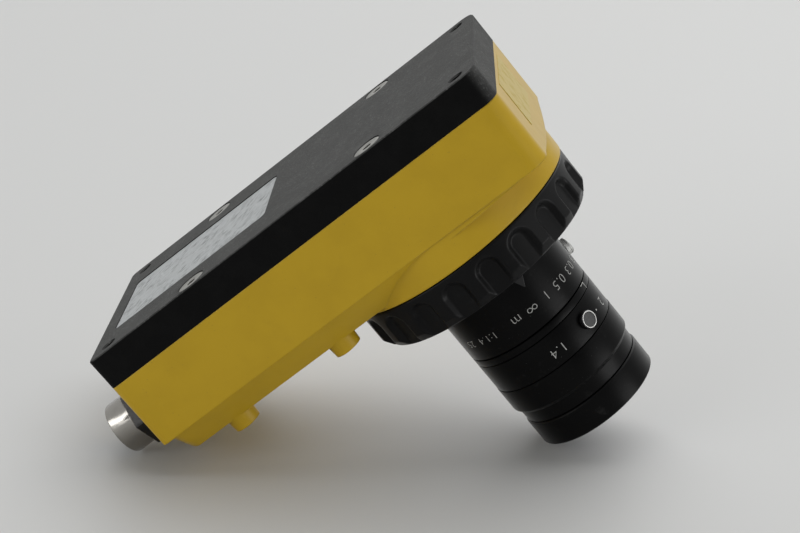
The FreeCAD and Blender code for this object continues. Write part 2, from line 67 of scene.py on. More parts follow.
class Finish:
    def __init__(self, name, colour, roughness, metallic=0.0, gloss=0.5):
        self.material = bpy.data.materials.new(name)
        self.material.use_nodes = True
        self.tree = self.material.node_tree
        self.shader = self.tree.nodes["Principled BSDF"]
        self.put("Base Color", (*colour, 1.0))
        self.put("Roughness", roughness)
        self.put("Metallic", metallic)
        self.put("Specular IOR Level", gloss)
        self.place = self.add("ShaderNodeTexCoord", {}, {}, "Object")

    # any node: its settings first, then the values or links of its sockets
    def add(self, kind, settings, inputs, out=0):
        node = self.tree.nodes.new(kind)
        for key, value in settings.items():
            setattr(node, key, value)
        for key, value in inputs.items():
            self.feed(node.inputs[key], value)
        return Value(self, node.outputs[out])

    def feed(self, socket, value):
        if isinstance(value, Value):
            self.tree.links.new(value.socket, socket)
        else:
            socket.default_value = value

    def put(self, name, value):
        self.feed(self.shader.inputs[name], value)

    # sizes of patterns are in millimetres
    def noise(self, size, detail=2.0, rough=0.5, place=None):
        inputs = {"Vector": place or self.place, "Scale": 1 / (size * mm), "Detail": detail,
                  "Roughness": rough}
        return self.add("ShaderNodeTexNoise", {}, inputs)

    # a noise cut into patches, between the values where they begin and where they are full
    def patches(self, size, detail, rough, low, high, place=None):
        return self.step(self.noise(size, detail, rough, place), low, high)

    def cells(self, size):
        inputs = {"Vector": self.place, "Scale": 1 / (size * mm)}
        return self.add("ShaderNodeTexVoronoi", {}, inputs)

    def stretched(self, x, y, z, turn=0.0):
        turned = self.add("ShaderNodeVectorRotate", {"rotation_type": "Z_AXIS"},
                          {"Vector": self.place, "Angle": math.radians(turn)})
        return self.add("ShaderNodeVectorMath", {"operation": "MULTIPLY"},
                        {0: turned, 1: (x, y, z)})

    def step(self, value, low, high):
        return self.add("ShaderNodeMapRange", {"interpolation_type": "SMOOTHSTEP"},
                        {0: value, 1: low, 2: high})

    def mix(self, factor, first, second):
        inputs = {0: factor}
        for key, colour in ((6, first), (7, second)):
            inputs[key] = colour if isinstance(colour, Value) else (*colour, 1.0)
        return self.add("ShaderNodeMix", {"data_type": "RGBA"}, inputs, 2)

    def dot(self, first, second):
        return self.add("ShaderNodeVectorMath", {"operation": "DOT_PRODUCT"},
                        {0: first, 1: second}, "Value")

    # surface direction with its edges rounded off
    def rounded(self, radius):
        return self.add("ShaderNodeBevel", {"samples": 5}, {"Radius": radius * mm})

    # where the rounded direction differs from the flat one
    def edges(self, soft, low, high):
        flat = self.add("ShaderNodeNewGeometry", {}, {}, "Normal")
        same = self.dot(soft, flat)
        return self.step(1 - same, low, high)

    # a gloss that only shows where the surface is seen at a slant
    def slantGloss(self, weight, rough, low, high):
        slant = self.add("ShaderNodeLayerWeight", {}, {"Blend": 0.5}, "Facing")
        self.put("Coat Weight", weight * self.step(slant, low, high))
        self.put("Coat Roughness", rough)

    def bump(self, height, depth, soft=None):
        inputs = {"Height": height, "Distance": depth * mm}
        if soft:
            inputs["Normal"] = soft
        self.put("Normal", self.add("ShaderNodeBump", {}, inputs))


# patches are given as size, detail, roughness, begin and full; shapes as stretches and a turn;
# slant as the weight and roughness of the gloss, begin and full
def paintedCasting():
    look = {"colour": (0.53, 0.338, 0.012), "shade": (0.48, 0.304, 0.010),
            "grime": (0.10, 0.085, 0.05), "chip": (0.62, 0.50, 0.16), "rough": 0.38, "gloss": 0.3,
            "edge": 0.6, "edgeWear": (0.05, 0.25), "peel": 0.75, "peelDepth": 0.022,
            "chips": (0.8, 4.0, 0.7, 0.42, 0.66), "specks": (0.5, 1.0, 0.5, 0.76, 0.81),
            "smudges": (5.0, 5.0, 0.66, 0.58, 0.80), "clouds": (9.0, 4.0, 0.5, 0.35, 0.7),
            "slant": (0.5, 0.3, 0.5, 0.8)}
    f = Finish("paintedCasting", look["colour"], look["rough"], gloss=look["gloss"])
    soft = f.rounded(look["edge"])
    chips = f.edges(soft, *look["edgeWear"]) * f.patches(*look["chips"])
    smudges = f.patches(*look["smudges"])
    tint = f.mix(f.patches(*look["clouds"]) * 0.6, look["colour"], look["shade"])
    tint = f.mix(smudges * 0.07, tint, look["grime"])
    tint = f.mix(f.patches(*look["specks"]) * 0.30, tint, look["grime"])
    f.put("Base Color", f.mix(chips * 0.35, tint, look["chip"]))
    f.put("Roughness", look["rough"] + 0.12 * f.noise(3.0, 3.0) + 0.12 * smudges)
    f.slantGloss(*look["slant"])
    f.bump(f.noise(look["peel"], 2.0, 0.45), look["peelDepth"], soft)
    return f.material


# dust with a painted sheen lies on what faces the back and the lens end, which face up as the
# camera rests, and thins out where it faces them squarely; the worn specks, crumbs and scratches
# show only there
def wrinklePaint():
    look = {"colour": (0.0030, 0.0030, 0.0031), "worn": (0.27, 0.27, 0.262),
            "dustAndSheen": (0.170, 0.170, 0.165), "rough": 0.38, "gloss": 0.05, "edge": 0.25,
            "grain": 0.30, "pits": 0.51, "depth": 0.045, "upward": (0.643, 0.0, 0.766),
            "faces": (0.2, 0.6), "squarely": (0.80, 0.95), "thinner": 0.35,
            "clouds": (6.0, 6.0, 0.72, 0.40, 0.68), "specks": (0.7, 4.0, 0.74, 0.55, 0.64),
            "crumbs": (0.62, 2.0, 0.5, 0.735, 0.775), "scratches": (1.0, 3.0, 0.55, 0.665, 0.70),
            "scratchShape": (1.7, 0.10, 1.0, 58.0)}
    f = Finish("wrinklePaint", look["colour"], look["rough"], gloss=look["gloss"])
    soft = f.rounded(look["edge"])
    grain = f.noise(look["grain"], 3.0, 0.6)
    facing = f.dot(f.add("ShaderNodeNewGeometry", {}, {}, "Normal"), look["upward"])
    squarely = f.step(facing, *look["squarely"])
    # painted top light: what faces up as the camera rests is made lighter, a painted sheen together
    # with its dust
    upLitAndDusty = f.step(facing, *look["faces"]) * (1 - look["thinner"] * squarely)
    dustAndSheen = f.patches(*look["clouds"])
    specks = f.patches(*look["specks"])
    crumbs = f.patches(*look["crumbs"])
    scratches = f.patches(*look["scratches"], f.stretched(*look["scratchShape"]))
    tint = f.mix((0.02 + 0.40 * upLitAndDusty) * (0.55 + 0.45 * dustAndSheen), look["colour"], look["dustAndSheen"])
    tint = f.mix(upLitAndDusty * specks * (0.18 + 0.32 * dustAndSheen), tint, look["worn"])
    tint = f.mix(upLitAndDusty * crumbs * 0.35, tint, look["worn"])
    f.put("Base Color", f.mix(upLitAndDusty * scratches * 0.22 * dustAndSheen, tint, look["worn"]))
    f.put("Roughness", look["rough"] + 0.24 * grain + 0.08 * dustAndSheen)
    f.bump(grain + 0.7 * f.cells(look["pits"]), look["depth"], soft)
    return f.material


def ringPlastic():
    look = {"colour": (0.0026, 0.0026, 0.0028), "worn": (0.050, 0.050, 0.050), "rough": 0.34,
            "gloss": 0.15, "grain": 0.18, "depth": 0.006, "rubs": (2.0, 5.0, 0.68, 0.56, 0.72),
            "specks": (0.4, 2.0, 0.5, 0.74, 0.79), "slant": (0.3, 0.26, 0.35, 0.85)}
    f = Finish("ringPlastic", look["colour"], look["rough"], gloss=look["gloss"])
    rubs = f.patches(*look["rubs"])
    tint = f.mix(rubs * 0.10, look["colour"], look["worn"])
    f.put("Base Color", f.mix(f.patches(*look["specks"]) * 0.4, tint, look["worn"]))
    f.put("Roughness", look["rough"] + 0.16 * f.noise(1.2, 3.0) + 0.08 * rubs)
    f.slantGloss(*look["slant"])
    f.bump(f.noise(look["grain"]), look["depth"])
    return f.material


def anodisedBlack():
    look = {"colour": (0.0020, 0.0020, 0.0021), "worn": (0.20, 0.20, 0.195), "rough": 0.28,
            "gloss": 0.09, "line": 0.09, "depth": 0.004, "rubs": (3.0, 5.0, 0.7, 0.58, 0.76),
            "specks": (0.34, 2.0, 0.5, 0.74, 0.79), "slant": (0.55, 0.26, 0.3, 0.85)}
    f = Finish("anodisedBlack", look["colour"], look["rough"], gloss=look["gloss"])
    lines = f.noise(1.0, 2.0, 0.6, f.stretched(0.02, 0.02, 1 / look["line"]))
    rubs = f.patches(*look["rubs"])
    tint = f.mix(rubs * 0.05, look["colour"], look["worn"])
    f.put("Base Color", f.mix(f.patches(*look["specks"]) * 0.4, tint, look["worn"]))
    f.put("Roughness", look["rough"] + 0.12 * lines + 0.10 * rubs)
    f.slantGloss(*look["slant"])
    f.bump(lines, look["depth"])
    return f.material


def lightTrap():
    look = {"colour": (0.004, 0.004, 0.004), "rough": 0.62, "gloss": 0.15}
    f = Finish("lightTrap", look["colour"], look["rough"], gloss=look["gloss"])
    f.put("Roughness", look["rough"] + 0.2 * f.noise(0.4))
    f.bump(f.noise(0.12, 1.0), 0.01)
    return f.material


# lathe lines run round the axis named by its number
def turnedMetal(name, colour, rough, axis):
    look = {"along": 12.0, "round": 0.02, "depth": 0.006, "stained": 0.62,
            "stains": (2.2, 4.0, 0.6, 0.45, 0.75)}
    shape = [look["round"]] * 3
    shape[axis] = look["along"]
    f = Finish(name, colour, rough, 1.0)
    lines = f.noise(1.0, 3.0, 0.6, f.stretched(*shape))
    stains = f.patches(*look["stains"])
    f.put("Base Color", f.mix(stains * 0.22, colour, [c * look["stained"] for c in colour]))
    f.put("Roughness", rough - 0.04 + 0.08 * lines + 0.06 * stains)
    f.bump(lines, look["depth"])
    return f.material


def screwSteel(name, colour, rough, stained=0.5):
    look = {"stains": (0.8, 4.0, 0.6, 0.42, 0.72), "stainShade": 0.45, "grain": 0.15,
            "depth": 0.006}
    f = Finish(name, colour, rough, 1.0)
    stains = f.patches(*look["stains"])
    f.put("Base Color", f.mix(stains * stained, colour, [c * look["stainShade"] for c in colour]))
    f.put("Roughness", rough - 0.05 + 0.2 * f.noise(0.3, 3.0))
    f.bump(f.noise(look["grain"]), look["depth"])
    return f.material


def ratingFilm():
    look = {"colour": (0.39, 0.405, 0.41), "rubbed": (0.19, 0.196, 0.198),
            "bright": (0.47, 0.485, 0.49), "rough": 0.30, "gloss": 0.25, "depth": 0.01,
            "streaks": (1.0, 5.0, 0.7), "streakShape": (1.3, 0.34, 1.0, 32.0),
            "streaked": (0.44, 0.62),
            "clouds": (5.5, 4.0, 0.6, 0.42, 0.60),
            "gleams": (1.0, 3.0, 0.6, 0.60, 0.72), "gleamShape": (0.7, 0.12, 1.0, -18.0)}
    f = Finish("ratingFilm", look["colour"], look["rough"], gloss=look["gloss"])
    streaks = f.noise(*look["streaks"], f.stretched(*look["streakShape"]))
    rubs = f.step(streaks, *look["streaked"]) * (0.20 + 0.80 * f.patches(*look["clouds"]))
    # the gleams are painted highlight streaks, slanted bands of lighter film colour
    gleams = f.patches(*look["gleams"], f.stretched(*look["gleamShape"]))
    tint = f.mix(rubs, look["colour"], look["rubbed"])
    f.put("Base Color", f.mix(gleams * 0.5, tint, look["bright"]))
    f.put("Roughness", look["rough"] + 0.22 * rubs)
    f.bump(streaks, look["depth"])
    return f.material


def endFilm():
    look = {"colour": (0.51, 0.365, 0.026), "faded": (0.44, 0.32, 0.04), "rough": 0.28,
            "gloss": 0.34, "grain": 1.4, "depth": 0.008, "rubs": (3.0, 5.0, 0.7, 0.45, 0.70)}
    f = Finish("endFilm", look["colour"], look["rough"], gloss=look["gloss"])
    rubs = f.patches(*look["rubs"])
    f.put("Base Color", f.mix(rubs * 0.6, look["colour"], look["faded"]))
    f.put("Roughness", look["rough"] + 0.16 * rubs)
    f.bump(f.noise(look["grain"]), look["depth"])
    return f.material


def contactGold():
    look = {"colour": (0.85, 0.62, 0.25), "dull": (0.66, 0.44, 0.16), "rough": 0.22}
    f = Finish("contactGold", look["colour"], look["rough"], 1.0)
    f.put("Base Color", f.mix(f.noise(0.4, 3.0) * 0.5, look["colour"], look["dull"]))
    f.put("Roughness", look["rough"] + 0.15 * f.noise(0.3))
    return f.material


def lightPipe():
    look = {"colour": (0.62, 0.66, 0.60), "cloud": (0.50, 0.55, 0.50), "rough": 0.24, "clear": 0.25}
    f = Finish("lightPipe", look["colour"], look["rough"])
    f.put("Base Color", f.mix(f.noise(0.8), look["colour"], look["cloud"]))
    f.put("Roughness", look["rough"] + 0.15 * f.noise(0.4))
    f.put("Transmission Weight", look["clear"])
    return f.material


def circuitBoard():
    look = {"mask": (0.012, 0.085, 0.038), "track": (0.022, 0.14, 0.062), "pad": (0.62, 0.55, 0.36),
            "rough": 0.3, "tracks": 260.0, "gap": 0.03, "shift": 0.37, "pads": 2.6, "depth": 0.02}
    f = Finish("circuitBoard", look["mask"], look["rough"])
    tracks = f.add("ShaderNodeTexBrick", {"offset": look["shift"]},
                   {"Vector": f.place, "Scale": look["tracks"], "Mortar Size": look["gap"]}, "Fac")
    pads = f.step(f.cells(look["pads"]), 0.16, 0.10)
    tint = f.mix(tracks, look["mask"], look["track"])
    f.put("Base Color", f.mix(pads * 0.6, tint, look["pad"]))
    f.put("Roughness", look["rough"] + 0.2 * f.noise(0.9))
    f.bump(tracks, look["depth"])
    return f.material


# any plain finish, with a grain of its own size and depth
def grainy(name, colour, rough, size=0.6, depth=0.006, metallic=0.0, gloss=0.5):
    f = Finish(name, colour, rough, metallic, gloss)
    grain = f.noise(size, 3.0)
    f.put("Base Color", f.mix(grain, colour, [c * 0.8 for c in colour]))
    f.put("Roughness", rough - 0.06 + 0.14 * grain)
    f.bump(grain, depth)
    return f.material


def lensGlass(name, tint, coat):
    look = {"rough": 0.015, "index": 1.62}
    f = Finish(name, tint, look["rough"])
    f.put("Transmission Weight", 1.0)
    f.put("IOR", look["index"])
    f.put("Specular Tint", (*coat, 1.0))
    f.put("Roughness", look["rough"] + 0.02 * f.noise(6.0, 3.0))
    return f.material


def markPaint():
    look = {"colour": (0.50, 0.50, 0.48), "worn": (0.24, 0.24, 0.23), "rough": 0.45, "gloss": 0.3,
            "wear": (0.35, 3.0, 0.5, 0.5, 0.7)}
    f = Finish("markPaint", look["colour"], look["rough"], gloss=look["gloss"])
    f.put("Base Color", f.mix(f.patches(*look["wear"]), look["colour"], look["worn"]))
    f.put("Roughness", look["rough"] + 0.15 * f.noise(0.3))
    return f.material


finishes = {
    "casting": paintedCasting(), "cover": wrinklePaint(), "ring": ringPlastic(),
    "barrel": anodisedBlack(), "trap": lightTrap(), "mark": markPaint(), "label": ratingFilm(),
    "endFilm": endFilm(), "gold": contactGold(), "lightPipe": lightPipe(), "board": circuitBoard(),
    "shell": turnedMetal("nickelShell", (0.36, 0.345, 0.32), 0.16, 0),
    "mount": turnedMetal("mountMetal", (0.52, 0.52, 0.53), 0.32, 2),
    "flange": screwSteel("flangeSteel", (0.05, 0.049, 0.048), 0.35),
    "screw": screwSteel("screwSteel", (0.34, 0.335, 0.315), 0.40),
    "dullSteel": screwSteel("dullSteel", (0.60, 0.60, 0.585), 0.55, 0.2),
    "polished": screwSteel("polishedSteel", (0.74, 0.74, 0.72), 0.36, 0.25),
    "darkSteel": screwSteel("darkSteel", (0.055, 0.055, 0.058), 0.38),
    "pointer": grainy("pointerPlastic", (0.012, 0.012, 0.0125), 0.45, 0.4, 0.02, gloss=0.3),
    "screwFace": grainy("screwFace", (0.085, 0.085, 0.085), 0.55, 0.3, 0.05, gloss=0.35),
    "blade": grainy("bladeSteel", (0.03, 0.03, 0.033), 0.36, 1.4, 0.003, 0.8),
    "rubber": grainy("softRubber", (0.014, 0.014, 0.014), 0.7, 0.4, 0.01, gloss=0.25),
    "insert": grainy("insertPlastic", (0.016, 0.016, 0.017), 0.5, 0.3, 0.006, gloss=0.3),
    "chip": grainy("chipPlastic", (0.02, 0.02, 0.021), 0.6, 0.15),
    "pad": grainy("gapPad", (0.36, 0.40, 0.45), 0.75),
    "ceramic": grainy("sensorCeramic", (0.16, 0.13, 0.17), 0.3, 3.0, 0.002),
    "flatCable": grainy("flatCable", (0.42, 0.20, 0.04), 0.35),
    "frontGlass": lensGlass("frontGlass", (0.96, 0.97, 1.0), (0.75, 0.62, 1.0)),
    "innerGlass": lensGlass("innerGlass", (0.97, 0.98, 0.97), (0.62, 0.95, 0.78)),
}
wornBy = {
    "casting": ["housing"], "cover": ["back_cover"], "ring": ["lens_ring"],
    "label": ["rating_label"], "endFilm": ["end_label"],
    "rubber": ["cover_seal", "connector_seals", "ring_seal"],
    "screw": ["cover_screws", "board_screws", "sensor_screws", "mount_screws", "iris_drive"],
    "shell": ["io_shell", "lan_shell", "connector_nuts"], "mount": ["c_mount"],
    "insert": ["io_insert", "lan_insert"], "gold": ["io_pins", "lan_contacts"],
    "lightPipe": ["status_lights"], "board": ["main_board", "connector_board", "sensor_board"],
    "chip": ["main_chip", "board_parts"], "pad": ["heat_pad"], "ceramic": ["image_sensor"],
    "flatCable": ["link_cable"],
    "barrel": ["lens_base", "index_band", "front_barrel", "filter_rim", "focus_ring", "iris_ring"],
    "trap": ["cell_barrel", "front_retainer", "rear_retainer", "lens_spacer", "iris_base"],
    "frontGlass": ["front_glass"],
    "innerGlass": ["sensor_window", "second_glass", "rear_glass", "last_glass"],
    "dullSteel": ["focus_lock"], "darkSteel": ["iris_cam", "iris_lock"],
    "blade": ["iris_blade_" + str(i) for i in range(1, 7)],
}
for finish, names in wornBy.items():
    for name in names:
        nodes[name].data.materials.clear()
        nodes[name].data.materials.append(finishes[finish])
print("finishes set:", len(finishes))


def newPiece(name, bm, finish, body, stands=(), sharp=32):
    mesh = bpy.data.meshes.new(name)
    bmesh.ops.remove_doubles(bm, verts=bm.verts, dist=1e-7)
    bmesh.ops.recalc_face_normals(bm, faces=bm.faces)
    bm.to_mesh(mesh)
    bm.free()
    for face in mesh.polygons:
        face.use_smooth = True
    mesh.set_sharp_from_angle(angle=math.radians(sharp))
    mesh.materials.append(finishes[finish])
    piece = bpy.data.objects.new(name, mesh)
    bpy.context.scene.collection.objects.link(piece)
    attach(piece, body)
    if stands:
        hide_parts(*stands)
    return piece


# each corner of a closed profile becomes a small arc; a third number is a corner's own radius
def eased(profile, radius, steps=3):
    out = []
    for i, corner in enumerate(profile):
        p = Vector(corner[:2])
        before = Vector(profile[i - 1][:2]) - p
        after = Vector(profile[(i + 1) % len(profile)][:2]) - p
        own = corner[2] if len(corner) > 2 else radius
        reach = min(own, 0.45 * before.length, 0.45 * after.length)    # some of each side stays
        start, end = p + before.normalized() * reach, p + after.normalized() * reach
        for k in range(steps + 1):
            t = k / steps
            out.append(tuple((1 - t) ** 2 * start + 2 * t * (1 - t) * p + t * t * end))
    return out


# closed ring swept about an axis: place(turn, radius, along) gives each point
def swept(profile, segments, place, bm=None):
    bm = bm or bmesh.new()
    rows = []
    for j in range(segments):
        turn = 2 * math.pi * j / segments
        rows.append([bm.verts.new(place(turn, r, d)) for r, d in profile])
    for j in range(segments):
        here, there = rows[j], rows[(j + 1) % segments]
        for i in range(len(profile)):
            k = (i + 1) % len(profile)
            bm.faces.new((here[i], here[k], there[k], there[i]))
    return bm


# share of the corner radius that a hexagon has at a turn
def hexagon(turn):
    return math.cos(math.pi / 6) / math.cos(turn % (math.pi / 3) - math.pi / 6)


# lens pieces are profiles of (radius, depth below the back) turned about the lens axis
lensX = 24.0
lensSegments = 256


def aboutLens(turn, r, depth):
    return Vector((lensX + r * math.cos(turn), r * math.sin(turn), -depth)) * mm


def lensPiece(name, profile, finish, body, stands, ease=0.12):
    bm = swept(eased(profile, ease), lensSegments, aboutLens)
    return newPiece(name, bm, finish, body, stands)


# fluted ring nut round the lens
ringShape = {"r": 30.3, "rear": 33.45, "rearEase": 0.45, "chamfer": 42.0, "frontR": 28.9,
             "front": 44.2, "mouthR": 22.2,
             "inside": [(22.0, 44.0), (20.6, 42.6), (20.6, 39.5), (27.12, 39.5), (27.12, 33.45)],
             "flutes": 20, "firstFlute": -61.5, "half": 2.75, "start": 35.45, "cut": 1.4,
             "wall": 1.5, "row": 0.25, "slopeRows": 9, "fluteSegments": 32}


def fluteCut(turn, depth):
    s = ringShape
    step = 2 * math.pi / s["flutes"]
    across = ((turn - math.radians(s["firstFlute"]) + step / 2) % step - step / 2) * s["r"]
    beyond = max(0.0, s["start"] + s["half"] - depth)
    share = (s["half"] + s["wall"] / 2 - math.hypot(across, beyond)) / s["wall"]
    share = min(max(share, 0.0), 1.0)
    return s["cut"] * share * share * (3 - 2 * share)


def makeLensRing():
    s = ringShape
    ease = s["rearEase"]
    outer = [(s["r"] - ease * (1 - math.sin(a)), s["rear"] + ease * (1 - math.cos(a)))
             for a in (0, math.pi / 6, math.pi / 3, math.pi / 2)]
    rows = int((s["chamfer"] - s["rear"] - ease) / s["row"])
    outer += [(s["r"], s["rear"] + ease + s["row"] * k) for k in range(1, rows)]
    shares = [k / s["slopeRows"] for k in range(s["slopeRows"])]
    slope = [(s["r"] + (s["frontR"] - s["r"]) * t, s["chamfer"] + (s["front"] - s["chamfer"]) * t)
             for t in shares]
    face = [(s["frontR"] + 0.05, s["front"] - 0.2), (s["frontR"] - 0.15, s["front"]),
            (s["mouthR"], s["front"])]

    def place(turn, r, depth):
        return aboutLens(turn, min(r, s["r"] - fluteCut(turn, depth)), depth)
    bm = swept(outer + slope + face + s["inside"], s["flutes"] * s["fluteSegments"], place)
    newPiece("lensRing", bm, "ring", "ring_nut", ["lens_ring"], 40)


# raised pointer on the front of the ring nut
pointerShape = {"turn": -72.0, "half": 1.6, "rear": 43.6, "tip": 46.9, "tipEase": 0.4,
                "inner": 27.25, "outer": 28.6, "ease": 0.18, "topShare": 0.88}


def makePointer():
    s = pointerShape
    corners = [(-s["half"], s["rear"]), (s["half"], s["rear"]), (0.0, s["tip"], s["tipEase"])]
    outline = eased(corners, s["ease"], 4)
    turn = math.radians(s["turn"])
    along = Vector((math.cos(turn), math.sin(turn), 0))
    across = Vector((-math.sin(turn), math.cos(turn), 0))
    bm = bmesh.new()
    centre = sum((Vector(p) for p in outline), Vector((0, 0))) / len(outline)
    rings = []
    for r, share in ((s["inner"], 1.0), (s["outer"] - s["ease"], 1.0), (s["outer"], s["topShare"])):
        spots = [centre + (Vector(p) - centre) * share for p in outline]
        rings.append([bm.verts.new((Vector((lensX, 0, -d)) + along * r + across * t) * mm)
                      for t, d in spots])
    for low, high in zip(rings, rings[1:]):
        for i in range(len(low)):
            k = (i + 1) % len(low)
            bm.faces.new((low[i], low[k], high[k], high[i]))
    bm.faces.new(rings[0])
    bm.faces.new(rings[-1])
    newPiece("ringPointer", bm, "pointer", "ring_nut")


makeLensRing()
makePointer()
print("ring nut made")

# focus ring, index band, iris ring and the front of the barrel: node, body and profile
barrelRings = {
    "focusRing": ("focus_ring", "focus_part", [
        (13.7, 41.6), (16.4, 41.6), (16.8, 42.0), (16.8, 60.1), (13.7, 60.1)]),
    "indexBand": ("index_band", "lens_cell", [
        (14.65, 60.45), (16.8, 60.45), (16.8, 62.2), (14.65, 62.2)]),
    "irisRing": ("iris_ring", "iris_part", [
        (14.7, 62.4), (16.8, 62.4), (16.8, 70.1), (14.7, 70.1)]),
    "frontBarrel": ("front_barrel", "lens_cell", [
        (10.8, 69.0), (13.6, 69.0), (13.6, 70.3), (16.9, 70.3), (16.9, 76.6, 0.25), (16.0, 77.5),
        (15.85, 80.8), (13.9, 80.8), (13.9, 83.6), (12.4, 83.6), (12.4, 77.0), (10.8, 77.0)]),
}
for name, (node, body, profile) in barrelRings.items():
    lensPiece(name, profile, "barrel", body, [node])


# the filter's screw thread as rings of one pitch
rimShape = {"outline": [(13.95, 83.7), (13.95, 81.05), (15.9, 81.05), (16.2, 81.35), (16.2, 87.7),
                        (15.9, 88.0), (14.6, 88.0), (14.3, 87.7)],
            "threadR": 14.25, "threadDepth": 0.22, "start": 84.95, "end": 87.55, "pitch": 0.5,
            "reliefR": 14.7, "reliefStart": 83.7, "reliefEnd": 84.9, "ease": 0.06}


def makeFilterRim():
    s = rimShape
    deep = s["threadR"] + s["threadDepth"]
    thread = []
    for i in range(int((s["end"] - s["start"]) / s["pitch"])):
        d = s["end"] - i * s["pitch"]
        thread += [(s["threadR"], d), (s["threadR"], d - 0.08), (deep, d - 0.22), (deep, d - 0.32)]
    relief = [(s["threadR"], s["reliefEnd"]), (s["reliefR"], s["reliefEnd"]),
              (s["reliefR"], s["reliefStart"])]
    profile = s["outline"] + thread + relief
    lensPiece("filterRim", profile, "barrel", "lens_cell", ["filter_rim"], s["ease"])


# glass elements: node, finish, edge radius, rear and front edge, and how far each face bulges
glassShapes = {
    "frontGlass": ("front_glass", "frontGlass", 12.2, 79.4, 82.0, -1.2, 1.8),
    "secondGlass": ("second_glass", "innerGlass", 10.6, 72.8, 74.6, -2.0, 1.6),
    "rearGlass": ("rear_glass", "innerGlass", 11.4, 54.4, 57.2, 2.2, -1.4),
    "lastGlass": ("last_glass", "innerGlass", 11.4, 44.6, 46.6, 2.0, 1.1),
}
glassRings, glassSegments = 16, 96


def dome(edgeR, bulge, r):
    ball = (edgeR ** 2 + bulge ** 2) / (2 * abs(bulge))
    return math.copysign(math.sqrt(ball ** 2 - r ** 2) - (ball - abs(bulge)), bulge)


def makeGlass(name, node, finish, edgeR, rear, front, rearBulge, frontBulge):
    radii = [edgeR * k / glassRings for k in range(glassRings + 1)]
    profile = [(r, rear - dome(edgeR, rearBulge, r)) for r in radii]
    profile += [(r, front + dome(edgeR, frontBulge, r)) for r in reversed(radii)]
    newPiece(name, swept(profile, glassSegments, aboutLens), finish, "lens_cell", [node])


makeFilterRim()
for name, shape in glassShapes.items():
    makeGlass(name, *shape)
print("barrel and glass made")

# thumb screws: turn about the lens, depth, tip and height of the head; the rest is alike
lockShapes = {
    "focusLock": {"node": "focus_lock", "body": "focus_screw", "turn": 25.0, "depth": 54.9,
                  "tip": 13.75, "head": 1.6, "waist": 0.10, "metal": "dullSteel",
                  "face": "dullSteel"},
    "irisLock": {"node": "iris_lock", "body": "iris_screw", "turn": -44.0, "depth": 66.5,
                 "tip": 14.7, "head": 1.1, "waist": 0.0, "metal": "darkSteel",
                 "face": "screwFace"},
}
lockHead = {"base": 16.95, "r": 2.2, "rimR": 2.02, "dishR": 1.84, "dish": 0.2, "shankR": 1.0,
            "middle": 0.55, "segments": 64}


def makeLock(name, s):
    base, headR, rimR, dishR = (lockHead[key] for key in ("base", "r", "rimR", "dishR"))
    shankR, dish = lockHead["shankR"], lockHead["dish"]
    top = base + s["head"]
    middle = base + lockHead["middle"] * s["head"]
    turn = math.radians(s["turn"])
    out = Vector((math.cos(turn), math.sin(turn), 0))
    side = Vector((-math.sin(turn), math.cos(turn), 0))
    centre = Vector((lensX, 0, -s["depth"]))

    def place(around, r, along):
        upward = Vector((0, 0, r * math.sin(around)))
        return (centre + out * along + side * r * math.cos(around) + upward) * mm
    walls = [(0.0, s["tip"]), (shankR - 0.1, s["tip"]), (shankR, s["tip"] + 0.1), (shankR, base),
             (headR - 0.05, base), (headR, base + 0.05)]
    groove = [(headR, middle - 0.12), (headR - s["waist"], middle - 0.06),
              (headR - s["waist"], middle + 0.06), (headR, middle + 0.12)]
    face = [(headR, top - 0.22), (rimR, top), (dishR, top), (dishR - 0.04, top - 0.18),
            (0.0, top - dish)]
    bm = swept(walls + groove + face, lockHead["segments"], place)
    piece = newPiece(name, bm, s["metal"], s["body"], [s["node"]], 25)
    piece.data.materials.append(finishes["polished"])
    piece.data.materials.append(finishes[s["face"]])
    for part in piece.data.polygons:    # a polished rim round the face
        spot = part.center / mm - centre
        height = spot.dot(out)
        if height > top - 0.24 and (spot - out * height).length < rimR:
            part.material_index = 1 if height > top - 0.02 else 2


for name, shape in lockShapes.items():
    makeLock(name, shape)
print("lock screws made")

# countersunk cover screws with a hexagon socket
screwShape = {"x": 25.2, "y": 26.4, "headR": 3.45, "top": 0.15, "socket": 1.25,
              "socketDepth": 1.5, "shankR": 1.5, "coneEnd": 2.1, "end": 17.0, "segments": 72}


def makeCoverScrews():
    s = screwShape
    profile = [(0.0, s["socketDepth"]), (s["socket"], s["socketDepth"]),
               (s["socket"], s["top"] + 0.08), (s["socket"] + 0.1, s["top"]),
               (s["headR"] - 0.14, s["top"]), (s["headR"] - 0.03, s["top"] + 0.06),
               (s["headR"] - 0.1, s["top"] + 0.2), (s["shankR"], s["coneEnd"]),
               (s["shankR"], s["end"]), (0.0, s["end"])]
    bm = bmesh.new()
    for x in (-s["x"], s["x"]):
        for y in (-s["y"], s["y"]):
            def place(turn, r, depth):
                reach = r * hexagon(turn) if r < s["socket"] + 0.05 else r
                return Vector((x + reach * math.cos(turn), y + reach * math.sin(turn), -depth)) * mm
            swept(profile, s["segments"], place, bm)
    newPiece("coverScrews", bm, "screw", "camera", ["cover_screws"], 30)


# connector shells: hexagon flange, sleeve and screw thread; places along them are x
portShape = {"front": -65.2, "flange": -59.5, "flangeR": 7.6, "panel": -53.6, "seat": -57.0,
             "end": -47.6, "y": 15.8, "depth": 20.0, "corner": 8.08, "cornerCut": 8.0,
             "hexagonR": 7.0, "stub": 6.0, "inner": 4.3, "pitch": 1.0, "inCut": 0.28,
             "outCut": -0.35, "segments": 144}
portSides = {
    "ioShell": {"node": "io_shell", "side": 1, "sleeve": 6.0, "bore": 4.6, "outside": True},
    "lanShell": {"node": "lan_shell", "side": -1, "sleeve": 6.6, "bore": 5.6, "outside": False},
}


def portThread(start, end, r, cut):
    rows = []
    for i in range(int(round((end - start) / portShape["pitch"]))):
        x = start + i * portShape["pitch"]
        rows += [(r, x), (r, x + 0.12), (r + cut, x + 0.5), (r + cut, x + 0.62)]
    return rows


